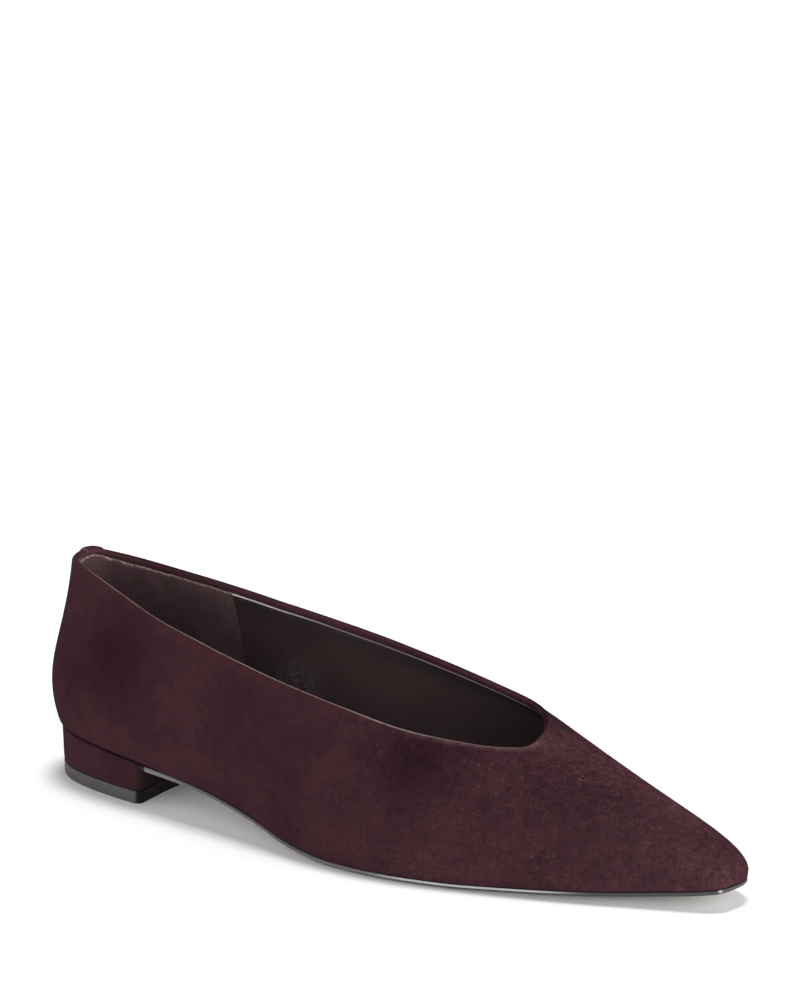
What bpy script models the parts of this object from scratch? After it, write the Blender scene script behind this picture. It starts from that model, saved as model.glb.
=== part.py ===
"""A right pointed flat: a suede upper lasted over an insole, a thin outsole and a low covered block heel.

The tables are in millimetres on the last: x runs from the back of the heel seat to the toe, y is positive on the
medial side and z is up from the floor. The finished objects are in metres, standing over the origin, toe along +X.
"""

import bmesh
import bpy
import numpy as np

MM = 0.001

# Stock and clearances
WALL = 1.8            # suede, reinforcement and lining together
SEAT_GAP = 0.3        # bond line between pieces that are glued to each other
SOLE_THICK = 1.5
WAIST_THICK = 0.6     # the outsole is this much thicker where it meets the heel
WAIST_RUN = 28.0      # and thins to SOLE_THICK over this length
SOLE_WELT = 0.3       # how far the outsole edge stands out from the feather line
SOLE_BEVEL = 0.7      # the outsole's lower edge is trimmed in by this much
INSOLE_THICK = 3.0
INSOLE_INSET = WALL + 0.4
INSOLE_SKIVE = 1.0    # the insole's upper edge is cut back by this much to follow the wall
INSOLE_TOE_EASE = 4.0  # the insole stops this far short of its outline's end, under the sloping toe wall
FILLER_BITE = 0.5     # how far the bottom filler is let into the insole

# Heel
HEEL_BREAST_X = 50.0  # the front corners of the heel
HEEL_CORNER = 2.5     # radius of those corners
BREAST_HOLLOW = 2.0   # the breast is hollowed by this much between them
BREAST_RUN = 30.0     # length over which the outsole's rows straighten out from the hollow
BACK_INSETS = (0.6, 1.2)    # how far the heel's back lies inside the feather line, at the seat and on the floor
FRONT_INSETS = (0.3, 0.0)   # the same at the breast
LIFT_THICK = 4.2

# Mesh fineness
GIRTH_STEPS = 104     # around the shoe
RISE_STEPS = 12       # from the feather line to the topline
SOLE_STATIONS = 46
SOLE_ACROSS = 14
HEEL_STATIONS = 22
CORNER_STEPS = 3
BREAST_STEPS = 8
OUTLINE_STEPS = 720   # points on the outlines that plates are cut from
WELD = 1e-6           # metres
SHARP = np.radians(35)

# Ribs of the upper, one row for each section, from the back of the heel along the lateral side to the toe and
# back along the medial side. A rib starts at the feather line (foot_x, foot_y), leaves it towards a handle that
# stands rise above and swell outside it, and comes to the topline (top_x, top_y, top_z) from a handle that lies
# reach of the way out to the foot, flare further outside and drop below. margin is the lasting allowance that is
# turned under the insole.
RIB_COLUMNS = ("foot_x", "foot_y", "rise", "swell", "top_x", "top_y", "top_z", "reach", "flare", "drop", "margin")
RIBS = {
    "heel_back":         (0.0, 0.0, 19.5, 7.2, 5.2, 0.0, 73.2, 0.48, 1.4, 27.5, 9.0),
    "lateral_heel_turn": (3.7, -12.0, 19.5, 7.2, 6.6, -8.2, 72.0, 0.48, 0.6, 27.5, 9.0),
    "lateral_heel_side": (13.3, -21.2, 19.5, 5.6, 15.6, -13.2, 70.6, 0.48, 2.4, 25.0, 9.0),
    "lateral_counter":   (30.0, -26.5, 19.0, 4.7, 33.0, -17.5, 67.2, 0.49, 2.6, 21.5, 9.0),
    "lateral_breast":    (52.0, -29.2, 18.0, 4.4, 52.0, -21.8, 63.0, 0.50, 2.8, 18.5, 9.0),
    "lateral_waist":     (89.0, -33.2, 18.0, 4.6, 84.0, -26.5, 57.3, 0.50, 3.0, 16.0, 9.0),
    "lateral_joint":     (124.0, -40.3, 17.0, 4.5, 112.0, -28.7, 52.3, 0.50, 2.6, 14.0, 9.0),
    "lateral_ball":      (156.0, -42.3, 16.0, 3.8, 138.0, -29.0, 47.9, 0.40, 2.0, 12.0, 9.0),
    "lateral_vamp":      (189.0, -34.9, 15.0, 3.0, 157.0, -26.4, 44.7, 0.40, 1.0, 10.0, 9.0),
    "lateral_toe":       (223.5, -23.0, 13.2, 2.0, 171.5, -20.2, 42.3, 0.40, 0.5, 10.0, 8.0),
    "lateral_point":     (249.5, -11.8, 12.3, 1.7, 181.0, -12.4, 40.6, 0.40, 0.0, 11.0, 5.0),
    "lateral_corner":    (262.4, -5.0, 12.4, 1.9, 185.4, -5.8, 39.5, 0.41, 0.0, 11.8, 2.5),
    "lateral_snip":      (263.7, -0.2, 12.8, 3.0, 186.6, -1.5, 39.1, 0.41, 0.0, 12.0, 2.5),
    "toe_tip":           (264.0, 4.0, 12.6, 4.6, 187.0, 3.0, 39.4, 0.41, 0.0, 12.0, 2.5),
    "medial_snip":       (263.0, 8.0, 12.0, 5.8, 185.6, 7.5, 39.6, 0.41, 0.0, 12.0, 2.5),
    "medial_corner":     (260.5, 11.5, 11.4, 6.6, 183.6, 11.8, 40.4, 0.36, 0.0, 11.4, 2.5),
    "medial_point":      (249.0, 17.8, 12.9, 3.2, 179.2, 18.6, 41.8, 0.31, 1.2, 10.9, 5.0),
    "medial_toe":        (225.0, 26.2, 14.5, 2.8, 171.0, 24.4, 43.5, 0.32, 1.8, 10.8, 8.0),
    "medial_vamp":       (200.0, 33.7, 15.6, 3.0, 157.0, 28.0, 45.1, 0.40, 1.5, 10.8, 9.0),
    "medial_ball":       (175.0, 36.7, 16.0, 3.8, 138.0, 28.7, 48.4, 0.40, 2.0, 12.4, 9.0),
    "medial_joint":      (140.0, 32.1, 17.0, 4.4, 112.0, 27.7, 53.0, 0.50, 2.0, 14.0, 9.0),
    "medial_waist":      (95.0, 23.6, 18.0, 5.0, 84.0, 24.4, 58.0, 0.50, 3.0, 16.0, 9.0),
    "medial_breast":     (52.0, 25.8, 18.0, 4.2, 52.0, 20.5, 63.2, 0.50, 3.0, 18.0, 9.0),
    "medial_counter":    (30.0, 25.5, 19.0, 4.5, 33.0, 17.2, 66.3, 0.49, 2.8, 21.0, 9.0),
    "medial_heel_side":  (13.0, 21.3, 19.5, 5.5, 15.6, 13.2, 69.1, 0.48, 2.4, 25.0, 9.0),
    "medial_heel_turn":  (3.5, 12.2, 19.5, 6.6, 6.6, 8.2, 71.2, 0.48, 2.0, 27.5, 9.0),
}

# Side profile of the feather line: heel seat, waist, flat tread and toe spring
PROFILE_COLUMNS = ("x", "z")
PROFILE = (
    (-6.0, 17.4),
    (25.0, 15.9),
    (50.0, 14.0),
    (75.0, 11.4),
    (100.0, 7.2),
    (122.0, 3.0),
    (138.0, 1.8),
    (178.0, 1.8),
    (200.0, 2.5),
    (225.0, 3.7),
    (250.0, 5.7),
    (270.0, 8.1),
)

# Finishes: base colour, roughness
FINISHES = {
    "upper": ((0.055, 0.016, 0.020), 0.95),
    "insole": ((0.012, 0.010, 0.010), 0.60),
    "outsole": ((0.030, 0.028, 0.028), 0.45),
    "heel_block": ((0.050, 0.015, 0.019), 0.95),
    "top_lift": ((0.060, 0.056, 0.056), 0.55),
}


def closed_spline(knots, rows, places):
    """Values and slopes at places of the smooth closed curve through rows, whose last knot is the first again."""
    span = np.diff(knots)
    count = len(span)
    system = np.zeros((count, count))
    right = np.zeros((count, rows.shape[1]))
    for i in range(count):
        before, after = span[i - 1], span[i]
        rise_before = (rows[i] - rows[i - 1]) / before
        rise_after = (rows[(i + 1) % count] - rows[i]) / after
        system[i, i - 1] += after
        system[i, i] += 2 * (before + after)
        system[i, (i + 1) % count] += before
        right[i] = 3 * (after * rise_before + before * rise_after)
    slopes = np.linalg.solve(system, right)
    at = np.clip(np.searchsorted(knots, places, side="right") - 1, 0, count - 1)
    nxt = (at + 1) % count
    width = span[at][:, None]
    t = ((places - knots[at]) / span[at])[:, None]
    start, end = rows[at], rows[nxt]
    leave, arrive = slopes[at] * width, slopes[nxt] * width
    values = ((2 * t**3 - 3 * t**2 + 1) * start + (t**3 - 2 * t**2 + t) * leave
              + (3 * t**2 - 2 * t**3) * end + (t**3 - t**2) * arrive)
    rates = ((6 * t**2 - 6 * t) * (start - end) + (3 * t**2 - 4 * t + 1) * leave
             + (3 * t**2 - 2 * t) * arrive) / width
    return values, rates


def feather_height(x):
    """Height of the feather line at x: a curve through PROFILE that keeps level rows level."""
    table = np.array(PROFILE)
    px, pz = table[:, PROFILE_COLUMNS.index("x")], table[:, PROFILE_COLUMNS.index("z")]
    rise = np.diff(pz) / np.diff(px)
    slope = np.concatenate([rise[:1], np.zeros(len(px) - 2), rise[-1:]])
    both = rise[:-1] * rise[1:]
    slope[1:-1] = np.where(both > 0, 2 * both / np.where(both > 0, rise[:-1] + rise[1:], 1), 0)
    x = np.clip(np.asarray(x, float), px[0], px[-1])
    at = np.clip(np.searchsorted(px, x, side="right") - 1, 0, len(px) - 2)
    width = px[at + 1] - px[at]
    t = (x - px[at]) / width
    return ((2 * t**3 - 3 * t**2 + 1) * pz[at] + (t**3 - 2 * t**2 + t) * width * slope[at]
            + (3 * t**2 - 2 * t**3) * pz[at + 1] + (t**3 - t**2) * width * slope[at + 1])


def ribs_at(shares):
    """Rib columns, and the outward direction in plan, at shares of the way round the feather line."""
    rows = np.array(list(RIBS.values()))
    plan = rows[:, :2]
    steps = np.sqrt(np.linalg.norm(np.roll(plan, -1, axis=0) - plan, axis=1))
    knots = np.concatenate([[0.0], np.cumsum(steps)])
    values, rates = closed_spline(knots, rows, shares * knots[-1])
    along = rates[:, :2] / np.linalg.norm(rates[:, :2], axis=1)[:, None]
    outward = np.column_stack([along[:, 1], -along[:, 0]])
    return dict(zip(RIB_COLUMNS, values.T)), outward


def wall_curves(shares, rises):
    """Points of the outer wall, one row of ribs for each rise: 0 is the feather line and 1 the topline."""
    rib, outward = ribs_at(shares)
    foot = np.column_stack([rib["foot_x"], rib["foot_y"], feather_height(rib["foot_x"])])
    top = np.column_stack([rib["top_x"], rib["top_y"], rib["top_z"]])
    low = foot + np.column_stack([outward * rib["swell"][:, None], rib["rise"]])
    across = (foot - top)[:, :2] * rib["reach"][:, None] + outward * rib["flare"][:, None]
    high = top + np.column_stack([across, -rib["drop"]])
    t = np.asarray(rises, float)[:, None, None]
    return (1 - t)**3 * foot + 3 * (1 - t)**2 * t * low + 3 * (1 - t) * t**2 * high + t**3 * top


def feather_outline(inset):
    """Plan outline of the feather line, moved in by inset."""
    rib, outward = ribs_at(np.arange(OUTLINE_STEPS) / OUTLINE_STEPS)
    return np.column_stack([rib["foot_x"], rib["foot_y"]]) - outward * inset


def filler_outline():
    """Plan outline of the space that the lasting margin leaves open."""
    rib, outward = ribs_at(np.arange(OUTLINE_STEPS) / OUTLINE_STEPS)
    return np.column_stack([rib["foot_x"], rib["foot_y"]]) - outward * (rib["margin"] + SEAT_GAP)[:, None]


def breadths(outline, stations):
    """Lateral and medial y of a plan outline at the x stations."""
    back, front = np.argmin(outline[:, 0]), np.argmax(outline[:, 0])
    turned = np.roll(outline, -back, axis=0)
    split = (front - back) % len(outline)
    lateral = turned[:split + 1]
    medial = np.vstack([turned[split:], turned[:1]])[::-1]
    return (np.interp(stations, lateral[:, 0], lateral[:, 1]),
            np.interp(stations, medial[:, 0], medial[:, 1]))


def eased(start, end, count, round_start, round_end):
    """Stations from start to end, closer together at an end that is round in plan."""
    t = np.linspace(0.0, 1.0, count)
    if round_start and round_end:
        t = (1 - np.cos(np.pi * t)) / 2
    elif round_start:
        t = 1 - np.cos(np.pi * t / 2)
    elif round_end:
        t = np.sin(np.pi * t / 2)
    return start + (end - start) * t


def wrapped(grid, close_x, close_y):
    """A grid of faces wrapped onto points: grid[i, j] is where the vertex in column i and row j goes."""
    columns, rows = grid.shape[:2]
    x_faces = columns if close_x else columns - 1
    y_faces = rows if close_y else rows - 1
    shape = bmesh.new()
    bmesh.ops.create_grid(shape, x_segments=x_faces, y_segments=y_faces, size=0.5)
    for vert in shape.verts:
        i = round((vert.co.x + 0.5) * x_faces) % columns
        j = round((vert.co.y + 0.5) * y_faces) % rows
        vert.co = grid[i, j] * MM
    bmesh.ops.remove_doubles(shape, verts=shape.verts, dist=WELD)
    return shape


def close_ends(shape):
    bmesh.ops.holes_fill(shape, edges=[edge for edge in shape.edges if edge.is_boundary], sides=0)


def placed(name, shape):
    """The shape as an object of the scene, with its normals outwards."""
    bmesh.ops.recalc_face_normals(shape, faces=shape.faces)
    mesh = bpy.data.meshes.new(name)
    shape.to_mesh(mesh)
    shape.free()
    mesh.shade_smooth()
    mesh.set_sharp_from_angle(angle=SHARP)
    obj = bpy.data.objects.new(name, mesh)
    bpy.context.scene.collection.objects.link(obj)
    return obj


def finish(piece):
    """Gives a piece the material that goes by its name."""
    colour, roughness = FINISHES[piece.name]
    material = bpy.data.materials.new(piece.name)
    material.use_nodes = True
    shader = material.node_tree.nodes["Principled BSDF"]
    shader.inputs["Base Color"].default_value = (*colour, 1.0)
    shader.inputs["Roughness"].default_value = roughness
    shader.inputs["Metallic"].default_value = 0.0
    piece.data.materials.append(material)


def plate(name, stations, layers):
    """A solid plate cut to plan outlines. Each layer is an outline and the plate's height along it, bottom first."""
    lateral_edges, medial_edges = [], []
    for outline, height in layers:
        lateral, medial = breadths(outline, stations)
        lateral_edges.append(np.column_stack([stations, lateral, height(stations)]))
        medial_edges.append(np.column_stack([stations, medial, height(stations)]))
    shape = wrapped(np.stack(lateral_edges + medial_edges[::-1], axis=1), close_x=False, close_y=True)
    close_ends(shape)
    return placed(name, shape)


def build_upper():
    """The lasted upper: one skin from the turned-under margin to the topline, thickened inwards."""
    shares = np.arange(GIRTH_STEPS) / GIRTH_STEPS
    wall = wall_curves(shares, np.linspace(0.0, 1.0, RISE_STEPS + 1))
    rib, outward = ribs_at(shares)
    edge = wall[0].copy()
    edge[:, :2] -= outward * rib["margin"][:, None]
    edge[:, 2] = feather_height(edge[:, 0])
    skin = np.concatenate([edge[None], wall]).transpose(1, 0, 2)
    upper = placed("upper", wrapped(skin, close_x=True, close_y=False))
    thickness = upper.modifiers.new("wall", "SOLIDIFY")
    thickness.thickness = WALL * MM
    thickness.offset = -1.0
    thickness.use_even_offset = True
    return upper


def sole_top(x):
    return feather_height(x) - SEAT_GAP


def sole_bottom(x):
    waist = np.clip(1 - (x - HEEL_BREAST_X) / WAIST_RUN, 0, 1)
    return sole_top(x) - SOLE_THICK - WAIST_THICK * waist**2


def bevel_top(x):
    return sole_bottom(x) + SOLE_BEVEL


def breast_hollow(y):
    """How far the hollowed breast lies behind the heel's front corners at y."""
    lateral, medial = breadths(feather_outline(0.0), np.array([HEEL_BREAST_X]))
    half = (medial - lateral) / 2 - HEEL_CORNER
    side = (y - (lateral + medial) / 2) / half
    return BREAST_HOLLOW * np.clip(1 - side**2, 0, None)


def build_outsole():
    """Lines from the breast to the toe, laid round the cross-section: over the bottom and back over the top."""
    outer, trimmed = feather_outline(-SOLE_WELT), feather_outline(SOLE_BEVEL - SOLE_WELT)
    start = HEEL_BREAST_X + SEAT_GAP

    def line(outline, height, share):
        """One line, at a share of the way over from the lateral edge to the medial edge."""
        x = eased(start, outline[:, 0].max(), SOLE_STATIONS, False, True)
        lateral, medial = breadths(outline, x)
        y = lateral + (medial - lateral) * share
        near_heel = np.clip(1 - (x - start) / BREAST_RUN, 0, 1)
        x = x - breast_hollow(y) * near_heel**2
        return np.column_stack([x, y, height(x)])

    over = np.linspace(0.0, 1.0, SOLE_ACROSS + 1)
    lines = [line(trimmed, sole_bottom, share) for share in over]
    lines.append(line(outer, bevel_top, 1.0))
    lines += [line(outer, sole_top, share) for share in over[::-1]]
    lines.append(line(outer, bevel_top, 0.0))
    sections = np.stack(lines, axis=1)
    facing = np.roll(sections[0, ::-1], -1, axis=0)
    closed_end = (sections[:1] + facing) / 2
    return placed("outsole", wrapped(np.concatenate([closed_end, sections]), close_x=False, close_y=True))


def insole_bottom(x):
    return feather_height(x) + WALL + SEAT_GAP


def build_insole():
    """The insole rests on the lasting margin, and its filler comes down to the sole between the margins."""
    outline, skived = feather_outline(INSOLE_INSET), feather_outline(INSOLE_INSET + INSOLE_SKIVE)
    between = filler_outline()
    toe_end = skived[:, 0].max() - INSOLE_TOE_EASE
    stations = eased(skived[:, 0].min(), toe_end, SOLE_STATIONS, True, True)
    insole = plate("insole", stations, (
        (outline, insole_bottom),
        (skived, lambda x: insole_bottom(x) + INSOLE_THICK),
    ))
    stations = eased(between[:, 0].min(), toe_end - SEAT_GAP, SOLE_STATIONS, True, True)
    filler = plate("insole_filler", stations, (
        (between, feather_height),
        (between, lambda x: insole_bottom(x) + FILLER_BITE),
    ))
    filler.hide_render = True
    filler.display_type = "WIRE"
    union = insole.modifiers.new("filler", "BOOLEAN")
    union.operation = "UNION"
    union.object = filler
    return insole


def heel_ring(height):
    """Plan ring of the heel at a height: back along the lateral side, forward on the medial side, over the breast."""
    down = 1 - height / feather_height(0.0)
    back_inset = np.interp(down, (0, 1), BACK_INSETS)
    front_inset = np.interp(down, (0, 1), FRONT_INSETS)
    rib, outward = ribs_at(np.arange(OUTLINE_STEPS) / OUTLINE_STEPS)
    inset = np.interp(rib["foot_x"], (0, HEEL_BREAST_X), (back_inset, front_inset))
    outline = np.column_stack([rib["foot_x"], rib["foot_y"]]) - outward * inset[:, None]

    corner_x = HEEL_BREAST_X - HEEL_CORNER
    side_x = eased(outline[:, 0].min(), corner_x, HEEL_STATIONS, True, False)
    lateral, medial = breadths(outline, side_x)
    turn = np.linspace(0.0, np.pi / 2, CORNER_STEPS + 1)[1:]
    inward = HEEL_CORNER * (1 - np.cos(turn))
    side_x = np.concatenate([side_x, corner_x + HEEL_CORNER * np.sin(turn)])
    lateral = np.concatenate([lateral, lateral[-1] + inward])
    medial = np.concatenate([medial, medial[-1] - inward])
    breast_y = np.linspace(medial[-1], lateral[-1], BREAST_STEPS + 1)[1:-1]
    return np.vstack([
        np.column_stack([side_x, lateral])[::-1],
        np.column_stack([side_x, medial])[1:],
        np.column_stack([HEEL_BREAST_X - breast_hollow(breast_y), breast_y]),
    ])


def heel_slice(name, low_ring, low_z, high_ring, high_z):
    """The part of the heel between two rings."""
    low = np.column_stack([low_ring, np.broadcast_to(low_z, len(low_ring))])
    high = np.column_stack([high_ring, np.broadcast_to(high_z, len(high_ring))])
    shape = wrapped(np.stack([low, high], axis=1), close_x=True, close_y=False)
    close_ends(shape)
    return placed(name, shape)


def build_heel():
    """The covered block, and the lift under it."""
    cut = LIFT_THICK + SEAT_GAP
    seat = heel_ring(feather_height(0.0))
    block = heel_slice("heel_block", heel_ring(cut), cut, seat, sole_top(seat[:, 0]))
    lift = heel_slice("top_lift", heel_ring(0.0), 0.0, heel_ring(LIFT_THICK), LIFT_THICK)
    return block, lift


def stand_over_origin(pieces):
    """Hangs everything on one empty so that the pieces stand on z = 0 with the middle of their plan at the origin."""
    corners = np.array([vert.co for piece in pieces for vert in piece.data.vertices])
    middle = (corners.min(axis=0) + corners.max(axis=0)) / 2
    last = bpy.data.objects.new("last", None)
    last.location = (-middle[0], -middle[1], 0.0)
    for obj in bpy.context.scene.collection.objects:
        obj.parent = last
    bpy.context.scene.collection.objects.link(last)


def main():
    for obj in list(bpy.data.objects):
        bpy.data.objects.remove(obj)
    pieces = [build_upper(), build_insole(), build_outsole(), *build_heel()]
    for piece in pieces:
        finish(piece)
    stand_over_origin(pieces)


main()
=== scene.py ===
"""The looks of a right pointed flat: burgundy suede over a snipped toe, a folded topline and a low heel.

Sizes are in millimetres on the last: x runs from the back of the heel seat to the toe, y is positive on the
medial side and z is up from the floor. The finished pieces are in metres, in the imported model's frame.
"""

import bmesh
import bpy
import numpy as np
from mathutils import Matrix, Vector


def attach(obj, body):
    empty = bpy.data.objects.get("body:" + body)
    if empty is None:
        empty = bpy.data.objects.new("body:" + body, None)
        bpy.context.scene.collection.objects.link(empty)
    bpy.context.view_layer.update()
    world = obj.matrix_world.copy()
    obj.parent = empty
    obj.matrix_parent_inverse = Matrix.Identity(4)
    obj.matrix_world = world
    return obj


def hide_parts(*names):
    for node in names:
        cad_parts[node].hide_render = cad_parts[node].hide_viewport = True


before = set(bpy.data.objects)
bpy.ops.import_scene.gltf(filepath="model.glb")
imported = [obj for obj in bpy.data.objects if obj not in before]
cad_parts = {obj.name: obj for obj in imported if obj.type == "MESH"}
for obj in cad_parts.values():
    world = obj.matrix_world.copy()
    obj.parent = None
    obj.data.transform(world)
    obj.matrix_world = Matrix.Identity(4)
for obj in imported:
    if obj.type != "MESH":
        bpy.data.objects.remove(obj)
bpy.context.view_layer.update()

MM = 0.001
MIDDLE = np.array((130.77, -2.89, 0.0))  # the last's point over the frame's origin

# Stock and folds of the upper
SUEDE = 1.0  # the suede with its backing
WALL = 1.8  # suede and lining together
RIM = 2.0  # the suede folded over itself at the topline
HEEL_RIM = 1.6  # how much thicker the fold is over the back seam
HEEL_RIM_RUN = 13.0  # and over what length that dies away
RIM_RISE = 0.35  # the fold stands this much above the ribs' ends
ROLL_RUN = 2.5  # the topline's turned-up edge dies away over a few of these
FOLD_SHORT = 0.8  # the fold ends this much above the lining's cut edge
FOLD_END = 0.4  # radius of the fold's end
FOLD_CORNER = 0.12  # how far that round lies inside a square corner
FEATHER_CURL = 0.9  # the round of the suede where it turns under the shoe
SEAT_CURL = 2.3  # the same round the heel seat
SEAT_CURL_RUN = 16.0  # one goes over to the other along this length, at the heel's breast
MARGIN = 2.8  # suede turned under, above the sole

# Linings, and the strip over the back seam
LINING_GAP = 0.05
LINING_OVER = 0.1  # the vamp lining starts this much above the middle of its cut edge
LINING_ROUND = 0.25  # height of the round along its top
GRIP_OVER = 0.3  # the heel grip starts this much above the vamp lining
GRIP_PROUD = 0.15  # and stands this much further in
GRIP_ROUND = 0.4
GRIP_WAVES = ((0.07, 0.53, 0.0), (0.06, 1.31, 1.0))  # its uneven edge: height, turn per column, start
EDGE_HALVES = (0.22, 0.42)  # half the height and half the thickness of the lining's cut edge
EDGE_INSET = 0.25  # how far its middle lies behind the lining's face
STRIP_REACH = (8.2, 2.2)  # how far the strip goes on the medial and on the lateral side
STRIP_THICK = 0.5
STRIP_SUNK = 0.2  # its hidden face lies this much inside the upper
STRIP_SHORT = 0.3  # it ends this much above the fold's end
STRIP_SQUARE = 8  # the power that squares its cross-section
STRIP_HIGHLIGHT = (0.3, 0.8)  # painted highlight on its edges between these shares of the fold
STRIP_BORDER = 0.95  # and beyond this share of its half width

# Bottom
SEAT_GAP = 0.3  # bond line between the upper and what is under it
SOLE_THICK = 1.5
SOLE_CLOSE = 0.02  # the sole's edge comes up to this much below the feather line
WAIST_THICK = 0.6  # the sole is this much thicker where it meets the heel
WAIST_RUN = 28.0  # and thins to SOLE_THICK over this length
SOLE_WELT = 0.3  # how far the sole's edge stands out from the feather line
SOCK_RISE = 5.1  # the sock lining's top above the feather line
SOCK_THICK = 2.4
SOCK_DISH = 1.2  # how far the sock lining is hollowed along its middle
HEEL_BREAST_X = 50.0  # the front corners of the heel
HEEL_CORNER = 2.5  # radius of those corners
BREAST_HOLLOW = 2.0  # the breast is hollowed by this much between them
BREAST_RUN = 30.0  # length over which the sole's lines straighten out from the hollow
BACK_INSETS = (0.6, 1.2)  # how far the heel's back lies inside the feather line, at seat and floor
FRONT_INSETS = (0.3, 0.0)  # the same at the breast
LIFT_THICK = 4.2
COVER_GAP = 0.12  # the line between cover and lift

# Mesh fineness
GIRTH = 520  # columns around the shoe
RIB_STEPS = 320  # steps down a rib that places are looked up in
CURL_ROWS = 9
WALL_ROWS = 64
WALL_CROWD = 1.4  # above 1, the wall's rows lie closer together towards the topline
FOLD_ROWS = 13
INSIDE_ROWS = 5  # down the inside of the fold
BACK_SHARES = (0.2, 0.5, 0.8, 1.0)  # rows down the back of the suede
STRIP_ROWS = 40
LINING_ROWS = 24
ROUND_STEPS = 6  # over the linings' round tops
EDGE_STEPS = 12
SOLE_STATIONS = 150
SOLE_ACROSS = 24
SOCK_STATIONS = 90
SOCK_ACROSS = 26
HEEL_STATIONS = 60
CORNER_STEPS = 8
BREAST_STEPS = 24
COVER_SHARES = np.linspace(0.12, 0.92, 9)  # rows up the heel cover
LIFT_SHARES = (0.3, 0.5, 0.7)
OUTLINE_STEPS = 1440
WELD = 1e-6  # metres
SHARP = np.radians(40)

# Ribs of the upper, one row for each section, from the back of the heel along the lateral side to the toe
# and back along the medial side. A rib starts at the feather line (foot_x, foot_y), leaves it towards a
# handle that stands rise above and swell outside it, and comes to the topline (top_x, top_y, top_z) from a
# handle that lies reach of the way out to the foot, flare further outside and drop below. roll is how many
# degrees the topline's edge is turned up.
RIB_COLUMNS = (
    "foot_x", "foot_y", "rise", "swell", "top_x", "top_y", "top_z", "reach", "flare", "drop", "roll",
)
RIBS = {
    "heel_back": (0.0, 0.0, 19.5, 7.2, 5.2, 0.0, 73.2, 0.48, 1.4, 27.5, 0.0),
    "lateral_heel_turn": (3.7, -12.0, 19.5, 7.2, 6.6, -8.2, 72.0, 0.48, 0.6, 27.5, 0.0),
    "lateral_heel_side": (13.3, -21.2, 19.5, 5.6, 15.6, -13.2, 70.6, 0.48, 2.4, 25.0, 4.0),
    "lateral_counter": (30.0, -26.5, 19.0, 4.7, 33.0, -17.5, 66.7, 0.49, 2.6, 21.5, 6.0),
    "lateral_breast": (52.0, -29.2, 18.0, 4.4, 52.0, -21.8, 62.2, 0.5, 2.8, 18.5, 6.0),
    "lateral_waist": (89.0, -33.2, 18.0, 4.6, 84.0, -26.5, 56.6, 0.5, 3.0, 16.0, 6.0),
    "lateral_joint": (124.0, -40.3, 17.0, 4.5, 112.0, -28.7, 52.1, 0.5, 2.6, 14.0, 8.0),
    "lateral_ball": (156.0, -42.3, 16.0, 3.8, 138.0, -29.0, 48.3, 0.4, 2.0, 12.0, 8.0),
    "lateral_vamp": (189.0, -34.9, 15.0, 3.0, 157.0, -26.4, 45.1, 0.4, 1.0, 10.0, 8.0),
    "lateral_toe": (223.5, -23.0, 13.2, 2.0, 171.5, -20.2, 42.8, 0.4, 0.5, 10.0, 8.0),
    "lateral_point": (249.5, -11.8, 12.3, 1.7, 181.0, -12.4, 40.6, 0.4, 0.0, 11.0, 8.0),
    "lateral_corner": (262.4, -5.0, 12.4, 1.9, 185.4, -5.8, 39.5, 0.41, 0.0, 11.8, 9.0),
    "lateral_snip": (263.7, -0.2, 12.8, 3.0, 186.6, -1.5, 39.1, 0.41, 0.0, 12.0, 10.0),
    "toe_tip": (264.0, 4.0, 12.6, 4.6, 186.8, 3.0, 39.7, 0.41, 0.0, 12.0, 12.0),
    "medial_snip": (263.0, 8.0, 12.0, 5.8, 185.4, 7.5, 40.2, 0.41, 0.0, 12.0, 14.0),
    "medial_corner": (260.5, 11.5, 11.4, 6.6, 183.9, 11.8, 41.0, 0.36, 0.0, 11.4, 18.0),
    "medial_point": (249.0, 17.8, 12.9, 3.2, 179.7, 18.6, 42.7, 0.31, 1.2, 10.9, 22.0),
    "medial_toe": (225.0, 26.2, 14.5, 2.8, 171.0, 24.4, 44.3, 0.32, 1.8, 10.8, 22.0),
    "medial_vamp": (200.0, 33.7, 15.6, 3.0, 157.0, 28.0, 45.5, 0.4, 1.5, 10.8, 16.0),
    "medial_ball": (175.0, 36.7, 16.0, 3.8, 138.0, 28.7, 48.8, 0.4, 2.0, 12.4, 10.0),
    "medial_joint": (140.0, 32.1, 17.0, 4.4, 112.0, 27.7, 53.5, 0.5, 2.0, 14.0, 6.0),
    "medial_waist": (95.0, 23.6, 18.0, 5.0, 84.0, 24.4, 58.3, 0.5, 3.0, 16.0, 4.0),
    "medial_breast": (52.0, 25.8, 18.0, 4.2, 52.0, 20.5, 63.4, 0.5, 3.0, 18.0, 2.0),
    "medial_counter": (30.0, 25.5, 19.0, 4.5, 33.0, 17.2, 66.3, 0.49, 2.8, 21.0, 0.0),
    "medial_heel_side": (13.0, 21.3, 19.5, 5.5, 15.6, 13.2, 69.1, 0.48, 2.4, 25.0, 0.0),
    "medial_heel_turn": (3.5, 12.2, 19.5, 6.6, 6.6, 8.2, 71.2, 0.48, 2.0, 27.5, 0.0),
}

# How far below the topline the lining's cut edge lies, at x
EDGE_DEPTHS = ((5.0, 1.9), (15.0, 2.7), (84.0, 2.7), (112.0, 4.1), (157.0, 4.2), (172.0, 5.0))

# Side profile of the feather line: heel seat, waist, flat tread and toe spring
PROFILE = (
    (-6.0, 17.4), (25.0, 15.9), (50.0, 14.0), (75.0, 11.9), (100.0, 7.9), (122.0, 3.1),
    (138.0, 1.8), (178.0, 1.8), (200.0, 2.5), (225.0, 3.7), (250.0, 5.7), (270.0, 8.1),
)

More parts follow.
